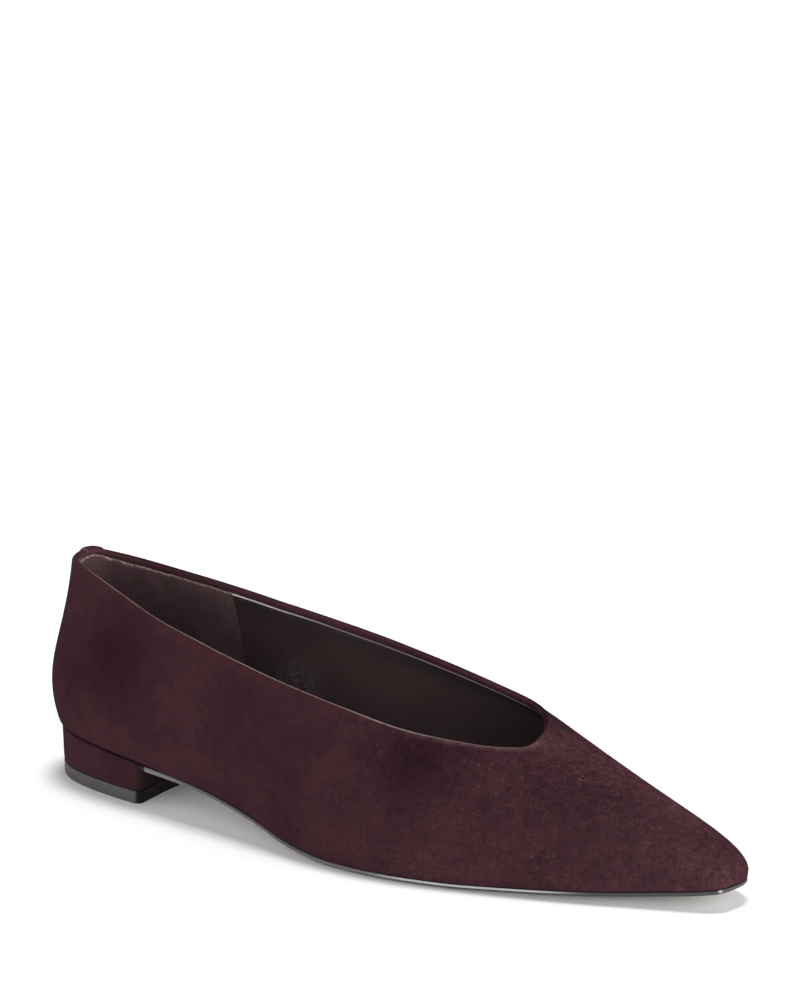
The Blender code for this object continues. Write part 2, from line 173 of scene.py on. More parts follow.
# Soft creases and ridges: the side of the shoe they are on, from (x, z) to (x, z) in side view, how wide
# they are and how far they stand out, which is negative for a trough
CREASES = (
    ("lateral", (70.0, 56.0), (55.0, 18.0), 6.0, -0.35),  # front edge of the counter
    ("lateral", (82.0, 50.0), (66.0, 16.0), 7.0, 0.25),
    ("medial", (70.0, 56.0), (55.0, 18.0), 6.0, -0.35),
    ("lateral", (120.0, 40.0), (96.0, 14.0), 9.0, -0.35),  # the waist drawn in over the last
    ("medial", (120.0, 40.0), (92.0, 14.0), 10.0, -0.40),
    ("lateral", (166.0, 34.0), (196.0, 22.0), 7.0, -0.25),  # beside the throat
)

# The sole's trimmed edge: how far in from its outline, and the share of its height
SOLE_EDGE = (
    (2.20, 0.0), (1.35, 0.10), (0.68, 0.22), (0.22, 0.36), (0.03, 0.50), (0.0, 0.58), (0.0, 0.66),
    (0.01, 0.80), (0.06, 0.92), (0.26, 0.99), (0.80, 1.0),
)
# The covered block's and the lift's edges: how far in from the outline, and how far in from the end
COVER_EDGE = ((0.60, 0.0), (0.25, 0.12), (0.06, 0.34), (0.0, 0.70))
LIFT_EDGE = ((0.30, 0.0), (0.10, 0.08), (0.0, 0.28))


# The last


def cubic(t, start, end, leave, arrive):
    """The cubic from start to end at shares t, with its slopes over the whole way at both ends."""
    return ((2 * t**3 - 3 * t**2 + 1) * start + (t**3 - 2 * t**2 + t) * leave
            + (3 * t**2 - 2 * t**3) * end + (t**3 - t**2) * arrive)


def closed_spline(knots, rows, places):
    """Values and slopes at places of the smooth curve through rows, closed by the last knot."""
    span = np.diff(knots)
    count = len(span)
    system = np.zeros((count, count))
    right = np.zeros((count, rows.shape[1]))
    for i in range(count):
        before, after = span[i - 1], span[i]
        rise_before = (rows[i] - rows[i - 1]) / before
        rise_after = (rows[(i + 1) % count] - rows[i]) / after
        system[i, i - 1] += after
        system[i, i] += 2 * (before + after)
        system[i, (i + 1) % count] += before
        right[i] = 3 * (after * rise_before + before * rise_after)
    slopes = np.linalg.solve(system, right)
    at = np.clip(np.searchsorted(knots, places, side="right") - 1, 0, count - 1)
    following = (at + 1) % count
    width = span[at][:, None]
    t = ((places - knots[at]) / span[at])[:, None]
    start, end = rows[at], rows[following]
    leave, arrive = slopes[at] * width, slopes[following] * width
    rates = ((6 * t**2 - 6 * t) * (start - end) + (3 * t**2 - 4 * t + 1) * leave
             + (3 * t**2 - 2 * t) * arrive) / width
    return cubic(t, start, end, leave, arrive), rates


def feather_height(x):
    """Height of the feather line at x: a curve through PROFILE that keeps level rows level."""
    px, pz = np.array(PROFILE).T
    rise = np.diff(pz) / np.diff(px)
    slope = np.concatenate([rise[:1], np.zeros(len(px) - 2), rise[-1:]])
    both = rise[:-1] * rise[1:]
    slope[1:-1] = np.where(both > 0, 2 * both / np.where(both > 0, rise[:-1] + rise[1:], 1), 0)
    x = np.clip(x, px[0], px[-1])
    at = np.clip(np.searchsorted(px, x, side="right") - 1, 0, len(px) - 2)
    width = px[at + 1] - px[at]
    return cubic((x - px[at]) / width, pz[at], pz[at + 1], width * slope[at], width * slope[at + 1])


def sole_top(x):
    return feather_height(x) - SEAT_GAP


def sole_bottom(x):
    waist = np.clip(1 - (x - HEEL_BREAST_X) / WAIST_RUN, 0, 1)
    return sole_top(x) - SOLE_THICK - WAIST_THICK * waist**2


def rib_knots():
    """Where each row of RIBS lies along the way round."""
    plan = np.array(list(RIBS.values()))[:, :2]
    steps = np.sqrt(np.linalg.norm(np.roll(plan, -1, axis=0) - plan, axis=1))
    return np.concatenate([[0.0], np.cumsum(steps)])


def ribs_at(shares):
    """Rib columns, and the outward direction in plan, at shares of the way round the feather line."""
    knots = rib_knots()
    values, rates = closed_spline(knots, np.array(list(RIBS.values())), shares * knots[-1])
    along = rates[:, :2] / np.linalg.norm(rates[:, :2], axis=1)[:, None]
    outward = np.column_stack([along[:, 1], -along[:, 0]])
    return dict(zip(RIB_COLUMNS, values.T)), outward


def wall_curves(rib, outward):
    """Points of the outer wall, one row of ribs for each step from the topline to the feather line."""
    foot = np.column_stack([rib["foot_x"], rib["foot_y"], feather_height(rib["foot_x"])])
    top = np.column_stack([rib["top_x"], rib["top_y"], rib["top_z"]])
    low = foot + np.column_stack([outward * rib["swell"][:, None], rib["rise"]])
    across = (foot - top)[:, :2] * rib["reach"][:, None] + outward * rib["flare"][:, None]
    high = top + np.column_stack([across, -rib["drop"]])
    t = np.linspace(1.0, 0.0, RIB_STEPS + 1)[:, None, None]
    return (1 - t)**3 * foot + 3 * (1 - t)**2 * t * low + 3 * (1 - t) * t**2 * high + t**3 * top


def feather_outline(back_inset, front_inset):
    """Plan outline of the feather line, moved in by its own inset at the back and from the breast on."""
    rib, outward = ribs_at(np.arange(OUTLINE_STEPS) / OUTLINE_STEPS)
    inset = np.interp(rib["foot_x"], (0, HEEL_BREAST_X), (back_inset, front_inset))
    return np.column_stack([rib["foot_x"], rib["foot_y"]]) - outward * inset[:, None]


def creased(points):
    """How far the creases move each point of the wall outwards."""
    stand = np.zeros(points.shape[:-1])
    side_view = points[..., [0, 2]]
    for side, start, end, width, height in CREASES:
        start, run = np.array(start), np.subtract(end, start)
        along = np.clip((side_view - start) @ run / (run @ run), 0.0, 1.0)
        off = np.linalg.norm(side_view - start - along[..., None] * run, axis=-1)
        there = points[..., 1] < 0 if side == "lateral" else points[..., 1] > 0
        stand += np.where(there, height * np.exp(-(off / width)**2), 0.0)
    return stand


def unit(vectors):
    return vectors / np.linalg.norm(vectors, axis=-1, keepdims=True)


class Skin:
    """The outer skin of the lasted upper: a column of points down each rib, topline to feather line."""

    def __init__(self):
        rib, outward = ribs_at(np.arange(GIRTH) / GIRTH)
        self.outward = np.column_stack([outward, np.zeros(GIRTH)])
        self.points = wall_curves(rib, outward)
        self.measure()
        hollow = np.tan(np.radians(rib["roll"])) * self.depths * np.exp(-self.depths / ROLL_RUN)
        self.points = self.points + self.normals * (creased(self.points) - hollow)[..., None]
        self.measure()
        roll = np.radians(rib["roll"])
        self.fold_start = (RIM / 2 * (1 + np.sin(roll)) - RIM_RISE) / np.cos(roll)
        self.edge_depth = np.interp(self.points[0, :, 0], *zip(*EDGE_DEPTHS))
        self.from_back = np.linalg.norm(self.points[0] - self.points[0, 0], axis=1)
        self.rim = RIM + HEEL_RIM * np.exp(-(self.from_back / HEEL_RIM_RUN)**2)
        near_heel = np.clip(0.5 + (HEEL_BREAST_X - self.foot[:, 0]) / SEAT_CURL_RUN, 0.0, 1.0)
        self.curl = FEATHER_CURL + (SEAT_CURL - FEATHER_CURL) * near_heel

    def measure(self):
        around = np.roll(self.points, -1, axis=1) - np.roll(self.points, 1, axis=1)
        down = np.gradient(self.points, axis=0)
        self.normals = unit(np.cross(down, around))
        self.up = -unit(down[0])
        steps = np.linalg.norm(np.diff(self.points, axis=0), axis=2)
        self.depths = np.vstack([np.zeros((1, GIRTH)), np.cumsum(steps, axis=0)])
        self.length = self.depths[-1]
        self.foot = self.points[-1]

    def at(self, depth, inset, columns):
        """Points depth below the topline on each of the columns, moved in from the skin by inset."""
        depth = np.broadcast_to(depth, (GIRTH,))
        inset = np.broadcast_to(inset, (GIRTH,))
        rows = []
        for column in columns:
            known = self.depths[:, column]
            place = [np.interp(depth[column], known, self.points[:, column, axis]) for axis in range(3)]
            facing = [np.interp(depth[column], known, self.normals[:, column, axis]) for axis in range(3)]
            rows.append(np.array(place) - np.array(facing) * inset[column])
        return np.array(rows)

    def fold(self, angle, stand, columns):
        """Points that stand so far off the round of the fold: angle 0 faces out, half pi up and pi in."""
        half = self.rim[:, None] / 2
        stand = np.broadcast_to(stand, (GIRTH,))[:, None]
        centre = self.points[0] - self.up * self.fold_start[:, None] - self.normals[0] * half
        across = self.normals[0] * np.cos(angle) * (half + stand)
        return (centre + across + self.up * np.sin(angle) * (RIM / 2 + stand))[columns]

    def wall_depth(self, share):
        """Depth of a share of the wall: 0 is where the fold starts and 1 where the feather curl does."""
        return self.fold_start + share * (self.length - self.curl - self.fold_start)

    def depth_at_rise(self, rise):
        """How far below the topline each rib stands rise above its feather line."""
        above = self.points[:, :, 2] - self.foot[:, 2]
        return np.array([np.interp(-rise, -above[:, c], self.depths[:, c]) for c in range(GIRTH)])


def columns_between(first, last):
    """Columns of the skin from one named rib forward to another, both included."""
    names, knots = list(RIBS), rib_knots()
    start, end = (round(knots[names.index(name)] / knots[-1] * GIRTH) for name in (first, last))
    return np.arange(start, end + 1 if end > start else end + 1 + GIRTH) % GIRTH


skin = Skin()
all_round = np.arange(GIRTH)
front_columns = columns_between("lateral_breast", "medial_breast")
heel_columns = columns_between("medial_breast", "lateral_breast")


# Shaping and placing of pieces


def wrapped(grid, close_x, close_y, marks=None):
    """A grid of faces wrapped onto points: grid[i, j] is where the vertex in column i and row j goes.

    A tube, closed one way only, gets its ends filled. Each of marks is a number for every point, kept with
    the vertices under its name.
    """
    columns, rows = grid.shape[:2]
    x_faces = columns if close_x else columns - 1
    y_faces = rows if close_y else rows - 1
    shape = bmesh.new()
    bmesh.ops.create_grid(shape, x_segments=x_faces, y_segments=y_faces, size=0.5)
    layers = {name: shape.verts.layers.float.new(name) for name in marks or {}}
    for vert in shape.verts:
        i = round((vert.co.x + 0.5) * x_faces) % columns
        j = round((vert.co.y + 0.5) * y_faces) % rows
        vert.co = (grid[i, j] - MIDDLE) * MM
        for name, layer in layers.items():
            vert[layer] = marks[name][i, j]
    bmesh.ops.remove_doubles(shape, verts=shape.verts, dist=WELD)
    if close_x != close_y:
        rims = [edge for edge in shape.edges if edge.is_boundary]
        bmesh.ops.holes_fill(shape, edges=rims, sides=0)
    return shape


def as_object(name, shape, material):
    """The shape as an object of the scene that wears the material."""
    mesh = bpy.data.meshes.new(name)
    shape.to_mesh(mesh)
    shape.free()
    mesh.materials.append(material)
    piece = bpy.data.objects.new(name, mesh)
    bpy.context.scene.collection.objects.link(piece)
    return piece


def placed(name, shape, material, slot, *stands_for):
    """The shape made a piece of the shoe, with its normals outwards."""
    bmesh.ops.recalc_face_normals(shape, faces=shape.faces)
    piece = as_object(name, shape, material)
    piece.data.shade_smooth()
    piece.data.set_sharp_from_angle(angle=SHARP)
    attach(piece, "root")
    if stands_for:
        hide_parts(*stands_for)


def breadths(outline, stations):
    """Lateral and medial y of a plan outline at the x stations."""
    back, front = np.argmin(outline[:, 0]), np.argmax(outline[:, 0])
    turned = np.roll(outline, -back, axis=0)
    split = (front - back) % len(outline)
    lateral = turned[:split + 1]
    medial = np.vstack([turned[split:], turned[:1]])[::-1]
    return (np.interp(stations, lateral[:, 0], lateral[:, 1]),
            np.interp(stations, medial[:, 0], medial[:, 1]))


def eased(start, end, count, first_angle, last_angle):
    """Stations from start to end that lie like points of a circle, so closer together at a round end."""
    turn = np.cos(np.linspace(first_angle, last_angle, count))
    return start + (end - start) * (turn - turn[0]) / (turn[-1] - turn[0])


# Shader values

# Where a Mix node of colours has its sockets
MIX_SHARE, MIX_FIRST, MIX_SECOND, MIX_COLOUR = 0, 6, 7, 2


class Value:
    """A shader value: one output socket, with arithmetic that adds Math nodes."""

    def __init__(self, nodes, socket):
        self.nodes = nodes
        self.socket = socket

    def math(self, operation, first, second):
        return self.nodes.node("ShaderNodeMath", {"operation": operation}, {0: first, 1: second})

    def __add__(self, other):
        return self.math("ADD", self, other)

    def __sub__(self, other):
        return self.math("SUBTRACT", self, other)

    def __rsub__(self, other):
        return self.math("SUBTRACT", other, self)

    def __mul__(self, other):
        return self.math("MULTIPLY", self, other)

    __radd__ = __add__
    __rmul__ = __mul__

    def between(self, low, high):
        """0 at low and 1 at high, with a soft start and end; low may be above high."""
        return self.nodes.node("ShaderNodeMapRange", {"interpolation_type": "SMOOTHSTEP"},
                               {"Value": self, "From Min": low, "From Max": high})


class Nodes:
    """A node tree that values are worked out in."""

    def __init__(self, tree):
        self.tree = tree

    def feed(self, socket, value):
        if isinstance(value, Value):
            self.tree.links.new(value.socket, socket)
        elif socket.type == "RGBA":
            socket.default_value = (*value, 1.0)
        else:
            socket.default_value = value

    def node(self, kind, settings, sockets, output=0):
        """A node of that kind, with its settings and then the values or links of its sockets."""
        node = self.tree.nodes.new(kind)
        for name, value in settings.items():
            setattr(node, name, value)
        for socket, value in sockets.items():
            self.feed(node.inputs[socket], value)
        return Value(self, node.outputs[output])


class Finish(Nodes):
    """A material round one Principled shader, whose constants are set on its own sockets."""

    def __init__(self, name, constants):
        self.material = bpy.data.materials.new(name)
        self.material.use_nodes = True
        super().__init__(self.material.node_tree)
        self.shader = self.tree.nodes["Principled BSDF"]
        for socket, value in constants.items():
            self.feed(self.shader.inputs[socket], value)
        self.place = self.node("ShaderNodeTexCoord", {}, {}, "Object")

    def noise(self, size, detail=2.0, rough=0.5, curl=0.0, place=None):
        """Soft noise whose lumps are about half of size millimetres across, drawn into curls by curl."""
        return self.node("ShaderNodeTexNoise", {}, {
            "Vector": place or self.place, "Scale": 1 / (size * MM), "Detail": detail, "Roughness": rough,
            "Distortion": curl}, "Fac")

    def stretched(self, along, across, up):
        """The piece's own coordinates, drawn out along each axis by so much."""
        return self.node("ShaderNodeMapping", {}, {
            "Vector": self.place, "Scale": (1 / along, 1 / across, 1 / up)})

    def last(self, axis):
        """Millimetres along the last: forward of the heel seat's back for X, to the medial side for Y."""
        metres = self.node("ShaderNodeSeparateXYZ", {}, {0: self.place}, axis)
        return metres * (1 / MM) + float(MIDDLE["XYZ".index(axis)])

    def near(self, point, radius):
        """1 at a point of the last, falling softly to 0 at the radius."""
        centre = tuple((np.array(point) - MIDDLE) * MM)
        away = self.node("ShaderNodeVectorMath", {"operation": "DISTANCE"},
                         {0: self.place, 1: centre}, "Value")
        return away.between(radius * MM, 0.0)

    def kept(self, name):
        """A number kept with the mesh under that name."""
        return self.node("ShaderNodeAttribute", {"attribute_name": name}, {}, "Fac")

    def mix(self, share, first, second):
        """The first colour going over to the second."""
        return self.node("ShaderNodeMix", {"data_type": "RGBA"},
                         {MIX_SHARE: share, MIX_FIRST: first, MIX_SECOND: second}, MIX_COLOUR)

    def shade(self, colour, amount):
        """The colour made lighter or darker by a number that varies around 1."""
        return self.node("ShaderNodeVectorMath", {"operation": "SCALE"}, {0: colour, "Scale": amount})

    def raised(self, height, distance, strength):
        """A normal bent by a height of so many millimetres."""
        return self.node("ShaderNodeBump", {}, {
            "Height": height, "Distance": distance * MM, "Strength": strength})

    def wear(self, colour, roughness, normal=None):
        """The material, with its shader's inputs that vary over the surface."""
        self.feed(self.shader.inputs["Base Color"], colour)
        self.feed(self.shader.inputs["Roughness"], roughness)
        if normal:
            self.feed(self.shader.inputs["Normal"], normal)
        return self.material


# Finishes

# Where the suede is painted lighter or darker, partly its nap and partly painted light and shade: a point
# of the last, how far the patch reaches, by how much
NAP_AND_LIGHT_PATCHES = (
    ((5.5, 1.0, 73.0), 8.0, 0.25),  # the collar's back
    ((38.0, -25.0, 46.0), 30.0, -0.36),  # below it on the side
    ((33.0, -28.0, 20.0), 22.0, 0.14),  # low round the heel cup, painted light from the floor
    ((60.0, -31.0, 18.0), 7.0, 0.12),  # in front of the heel
    ((72.0, -30.0, 38.0), 24.0, 0.14),  # counter's front edge
    ((104.0, -37.0, 29.0), 24.0, -0.12),  # waist
    ((163.0, -30.0, 36.0), 24.0, -0.44),  # beside the throat
    ((190.0, -35.0, 10.0), 24.0, 0.11),  # low beside the ball, painted light from the floor
    ((254.0, -9.0, 11.0), 16.0, 0.24),  # low beside the toe, painted light from the floor
    ((190.0, 6.0, 39.0), 16.0, 0.48),  # throat, a painted highlight along the ridge
    ((210.0, 15.0, 32.0), 22.0, 0.30),  # medial side of the vamp, a painted highlight along the ridge
    ((233.0, 12.0, 24.0), 20.0, 0.38),  # medial side of the toe, a painted highlight along the ridge
    ((262.0, -2.0, 9.5), 10.0, 0.58),  # the snip, painted light on its lit facet
    ((265.0, 5.0, 11.0), 7.0, 0.40),  # its medial end, painted light on the lit facet
)


def nap_and_painted_light(cloth, along, over):
    """How light or dark the suede is painted: in patches, with painted shade where it faces up, painted
    light low on the wall, lighter nap with a painted sheen near the lateral topline, lighter on the fold's
    inner face and darker over its turn.
    """
    lay = 1.0
    for point, radius, amount in NAP_AND_LIGHT_PATCHES:
        lay = lay + amount * cloth.near(point, radius)
    fold = cloth.kept("fold")
    low = cloth.kept("above_feather").between(34.0, 3.0)
    # lighter nap with a painted sheen near the lateral topline
    halo = cloth.kept("below_topline").between(5.0, 0.5) * over.between(2.0, -3.0)
    inner = fold.between(0.6, 0.9) * along.between(180.0, 155.0)
    turned = fold.between(0.1, 0.25) * fold.between(0.6, 0.5) * over.between(-2.0, 4.0)
    # painted shade on surfaces that face up and painted light low on the wall, where the overhead light and
    # the floor fall
    normal = cloth.node("ShaderNodeTexCoord", {}, {}, "Normal")
    faces_up = cloth.node("ShaderNodeSeparateXYZ", {}, {0: normal}, "Z")
    return lay * (1.02 - faces_up * 0.09 + low * 0.06 + halo * 0.08 + inner * 0.7 - turned * 0.4)


def topline_highlight(cloth, along, over, fibre):
    """The painted highlight along the fold on the lateral side, with slightly lighter nap, which starts
    further out on the fold towards the throat and further in at the heel's back."""
    fold = cloth.kept("fold")
    at_back = along.between(24.0, 8.0)
    start = fold + 0.15 * along.between(40.0, 120.0) + 0.27 * along.between(125.0, 165.0) - 0.32 * at_back
    crest = start.between(0.39, 0.46) * fold.between(0.0, 0.04)
    crest = crest * (fold - 0.22 * at_back).between(0.68, 0.58)
    lateral = along.between(198.0, 184.0) * over.between(-5.5, -8.5)
    fainter = 1 - 0.45 * along.between(158.0, 174.0)
    return crest * lateral * fainter * (0.75 + fibre * 2.0).between(0.0, 1.0)


def upper_suede():
    """Napped suede: faintly cloudy, ruffled and flecked over the vamp and smooth at the heel, brushed pale
    round the throat with a painted sheen, greyed by a painted sheen over the toe and the heel's back, with
    a painted highlight along the topline's crest and on the strip's edges, and patches of nap and painted
    light and shade."""
    cloth = Finish("upper_suede", {"Specular IOR Level": 0.0})
    along, over = cloth.last("X"), cloth.last("Y")
    cloud = cloth.noise(34.0, 3.0, 0.55) - 0.5
    blotch = cloth.noise(11.0, 3.0, 0.6) - 0.5
    tuft = cloth.noise(3.2, 3.0, 0.62, 0.8) - 0.5
    fibre = cloth.noise(1.1, 2.0, 0.7, 1.2) - 0.5
    vamp = along.between(170.0, 205.0) * over.between(-28.0, -4.0)
    rough = 0.35 + 0.3 * along.between(110.0, 170.0) + 0.6 * vamp
    ruffled = along.between(130.0, 200.0) * cloth.noise(16.0).between(0.4, 0.62)
    curled = (fibre - tuft * 0.3).between(-0.12, -0.26) * ruffled
    fleck = (fibre + tuft * 0.5).between(0.15, 0.26) * ruffled
    # a painted sheen that greys the suede over the toe and at the heel's back
    greyed_sheen = along.between(200.0, 245.0) + along.between(22.0, 4.0)
    throat = cloth.kept("below_topline").between(4.0, 0.5) * along.between(150.0, 176.0)
    # lighter nap round the throat with a painted sheen
    brushed = throat * over.between(8.0, 0.0) * (0.34 + tuft * 1.2)
    cloudy = 0.5 + cloud * 1.1 + blotch * 0.9 + tuft * rough * 0.9
    speckle = 1 + (fibre * 1.5 + tuft * 0.8) * rough - curled * 0.3
    colour = cloth.mix(cloudy.between(0.0, 1.0), (0.0305, 0.0124, 0.0158), (0.0460, 0.0187, 0.0236))
    # patches of nap with painted light and shade
    colour = cloth.shade(colour, nap_and_painted_light(cloth, along, over) * speckle)
    colour = cloth.mix(greyed_sheen * 0.06, colour, (0.10, 0.062, 0.070))
    colour = cloth.mix(fleck * 0.75, colour, (0.105, 0.072, 0.078))
    colour = cloth.mix(brushed, colour, (0.135, 0.076, 0.086))
    # painted highlight along the topline's crest
    colour = cloth.mix(topline_highlight(cloth, along, over, fibre) * 0.85, colour, (0.22, 0.162, 0.168))
    # painted highlight on the strip's edges over the fold
    colour = cloth.mix(cloth.kept("strip_edge_highlight") * 0.5, colour, (0.20, 0.150, 0.155))
    return cloth.wear(colour, 0.94 + fibre * 0.1, cloth.raised(fibre * 0.6 + tuft * 0.4, 0.3, 0.6))


def lining_leather():
    """Smooth dark kid with a faint sheen, with painted shade along its top, darker towards the toe, and a
    painted sheen of grey specks inside the medial waist."""
    kid = Finish("lining_leather", {"Specular IOR Level": 0.35})
    pore = kid.noise(0.9, 2.0, 0.6)
    drag = kid.noise(14.0)
    toeward = kid.last("X").between(110.0, 170.0)
    high = kid.kept("below_edge").between(16.0, 0.0)
    # a painted sheen of grey specks inside the medial waist
    sheen_specks = kid.near((75.0, 21.0, 32.0), 15.0) * kid.noise(1.3, 2.0, 0.7).between(0.38, 0.62)
    colour = kid.mix(drag, (0.043, 0.0268, 0.0277), (0.060, 0.0370, 0.0385))
    # painted shade along the lining's top, where the overhead light falls most; darker towards the toe
    colour = kid.shade(colour, (1 - 0.25 * toeward) * (1.05 - 0.42 * high))
    colour = kid.mix(sheen_specks * 0.8, colour, (0.140, 0.112, 0.109))
    colour = kid.shade(colour, 0.85 + pore * 0.3)
    return kid.wear(colour, 0.42 + drag * 0.16, kid.raised(pore, 0.05, 0.35))


def grip_suede():
    """The brushed heel grip, paler and fluffy along its upper edge, most of all at the back."""
    grip = Finish("grip_suede", {"Specular IOR Level": 0.1, "Sheen Weight": 0.05, "Sheen Roughness": 0.5,
                                 "Sheen Tint": (0.8, 0.7, 0.65)})
    fibre = grip.noise(1.0, 2.0, 0.65, 1.0)
    brushed = grip.noise(9.0, 3.0, 0.55)
    at_back = grip.last("X").between(32.0, 8.0)
    fluff = (grip.kept("below_edge") + (fibre - 0.5) * 2.8).between(0.8, -0.2)
    colour = grip.mix(brushed.between(0.35, 0.65), (0.077, 0.0440, 0.0482), (0.101, 0.0580, 0.0632))
    colour = grip.mix(fluff * 0.75, colour, (0.36, 0.265, 0.238))
    colour = grip.shade(colour, (1 + fluff * at_back * 0.7) * (0.72 + fibre * 0.56))
    return grip.wear(colour, 0.9 + fibre * 0.1, grip.raised(fibre, 0.14, 0.5))


def raw_edge():
    """The pale cut edge of the lining leather, duller towards the throat."""
    edge = Finish("raw_edge", {"Specular IOR Level": 0.3})
    fibre = edge.noise(1.2, 2.0, 0.6)
    pale = edge.mix(fibre.between(0.3, 0.7), (0.62, 0.59, 0.58), (0.85, 0.82, 0.81))
    colour = edge.mix(edge.last("X").between(52.0, 95.0), pale, (0.26, 0.225, 0.22))
    return edge.wear(colour, 0.55 + fibre * 0.2, edge.raised(fibre, 0.06, 0.4))


def sock_leather():
    """Black sock leather with a pebbled grain."""
    sock = Finish("sock_leather", {"Specular IOR Level": 0.4})
    pebble = sock.node("ShaderNodeTexVoronoi", {"feature": "SMOOTH_F1"},
                       {"Vector": sock.place, "Scale": 1 / (1.1 * MM), "Smoothness": 0.6}, "Distance")
    drag = sock.noise(14.0)
    colour = sock.mix(drag, (0.030, 0.0225, 0.0225), (0.046, 0.034, 0.034))
    return sock.wear(colour, 0.45 + drag * 0.18, sock.raised(1 - pebble, 0.09, 0.35))


def sole_finish():
    """The sole: pale and lightly buffed underneath, with a grey inked edge that carries a painted highlight
    along its upper arris beside the ball and at the toe's corner, a painted reflection of the floor in pale
    bands at the waist, and painted shade against the heel and against the upper."""
    sole = Finish("sole_finish", {"Specular IOR Level": 0.05})
    speck = sole.noise(1.4, 2.0, 0.6)
    buffed = sole.noise(5.0, 3.0, 0.6, place=sole.stretched(6.0, 1.0, 1.0))
    forward, up = sole.last("X"), sole.kept("edge")
    along = forward + (speck - 0.5) * 6.0
    under = sole.mix(buffed, (0.72, 0.70, 0.67), (0.80, 0.78, 0.75))
    trimmed = up.between(0.01, 0.12)
    arris = up.between(0.58, 0.70) * up.between(0.99, 0.96)
    lower_band = up.between(0.05, 0.12) * up.between(0.52, 0.46)
    waist = along.between(72.0, 64.0)
    # painted highlight along the upper arris beside the ball
    edge_highlight = arris * along.between(150.0, 168.0) * along.between(226.0, 206.0)
    shaded = up.between(0.50, 0.62) * along.between(64.0, 72.0) * along.between(140.0, 120.0)
    # painted highlight at the toe's corner
    corner_highlight = sole.near((262.4, -5.4, 6.9), 1.1)
    colour = sole.mix(along.between(140.0, 215.0), (0.145, 0.138, 0.138), (0.068, 0.064, 0.064))
    for share, ink_and_light in (
        (forward.between(261.5, 263.0), (0.095, 0.090, 0.090)),  # the toe's blunt end
        (edge_highlight, (0.44, 0.44, 0.43)),
        # painted reflection of the floor in pale bands at the waist
        (waist * lower_band, (0.29, 0.28, 0.275)),
        (waist * arris, (0.175, 0.162, 0.162)),
        (shaded, (0.115, 0.109, 0.109)),
        (forward.between(53.6, 52.6), (0.02, 0.014, 0.014)),  # painted shade against the heel
        (corner_highlight, (0.55, 0.51, 0.51)),
        (up.between(0.992, 1.0), (0.02, 0.012, 0.013)),  # painted shadow in the crack against the upper
    ):
        colour = sole.mix(share, colour, ink_and_light)
    colour = sole.mix(trimmed, under, sole.shade(colour, 0.88 + speck * 0.24))
    return sole.wear(colour, 0.5 + buffed * 0.2, sole.raised(speck, 0.04, 0.3))


def lift_rubber():
    """The lift's matt grey rubber, scored around by the trimming wheel, with its front darker."""
    rubber = Finish("lift_rubber", {"Specular IOR Level": 0.1})
    speck = rubber.noise(1.4, 2.0, 0.6)
    scored = rubber.noise(1.0, 2.0, 0.6, place=rubber.stretched(9.0, 9.0, 1.0))
    colour = rubber.mix(scored, (0.072, 0.0656, 0.0663), (0.104, 0.0955, 0.0967))
    colour = rubber.mix(rubber.kept("breast").between(0.1, 0.6), colour, (0.0085, 0.0062, 0.0063))
    colour = rubber.shade(colour, 0.88 + speck * 0.24)
    return rubber.wear(colour, 0.5 + speck * 0.2, rubber.raised(scored * 0.6 + speck * 0.4, 0.06, 0.4))


def cover_suede():
    """The suede over the heel block: shorter in the nap than the upper's, and darker on the breast."""
    cover = Finish("cover_suede", {"Specular IOR Level": 0.0})
    cloud = cover.noise(12.0, 3.0, 0.55)
    fibre = cover.noise(1.1, 2.0, 0.7, 1.2)
    colour = cover.mix(cloud.between(0.3, 0.7), (0.0325, 0.0138, 0.0173), (0.0430, 0.0182, 0.0225))
    colour = cover.mix(cover.kept("breast").between(0.1, 0.7), colour, (0.028, 0.0160, 0.0172))
    colour = cover.shade(colour, 0.82 + fibre * 0.36 + 0.25 * cover.last("X").between(36.0, 10.0))
    return cover.wear(colour, 0.9 + fibre * 0.1, cover.raised(fibre, 0.2, 0.5))


# Pieces of the upper


def build_suede_upper(material):
    """The suede skin: turned under at the sole, up the wall, over the topline and down inside it."""
    margin = skin.foot - skin.outward * MARGIN
    margin[:, 2] = feather_height(margin[:, 0])
    turn = skin.at(skin.length - skin.curl, 0.0, all_round)
    under = skin.foot - skin.outward * skin.curl[:, None]
    under[:, 2] = feather_height(under[:, 0])
    rows, below, fold = [], [], []

    def lay(row, depth, turned):
        rows.append(row)
        below.append(depth)
        fold.append(np.full(GIRTH, turned))

    lay(margin, skin.length, 0.0)
    for t in np.linspace(0.0, 1.0, CURL_ROWS):
        lay((1 - t)**2 * under + 2 * (1 - t) * t * skin.foot + t**2 * turn, skin.length, 0.0)
    for share in np.linspace(1.0, 0.0, WALL_ROWS)[1:]**WALL_CROWD:
        depth = skin.wall_depth(share)
        lay(skin.at(depth, 0.0, all_round), depth, 0.0)
    for turned in np.linspace(0.0, 1.0, FOLD_ROWS)[1:]:
        lay(skin.fold(turned * np.pi, 0.0, all_round), skin.fold_start * (1 - turned), turned)
    end = skin.edge_depth - FOLD_SHORT
    inside = [(depth, skin.rim) for depth in np.linspace(skin.fold_start, end - FOLD_END, INSIDE_ROWS)[1:]]
    inside += [(end - FOLD_CORNER, skin.rim - FOLD_CORNER), (end, skin.rim - FOLD_END), (end, SUEDE)]
    inside += [(end + share * (skin.length - end - 2 * SUEDE), SUEDE) for share in BACK_SHARES]
    for depth, inset in inside:
        lay(skin.at(depth, inset, all_round), skin.length, 1.0)
    lay(margin + (0.0, 0.0, SUEDE), skin.length, 1.0)
    below = np.stack(below, axis=1)
    shape = wrapped(np.stack(rows, axis=1), close_x=True, close_y=True, marks={
        "above_feather": skin.length[:, None] - below,
        "below_topline": below,
        "fold": np.stack(fold, axis=1),
    })
    placed("suede_upper", shape, material, "suede", "upper")


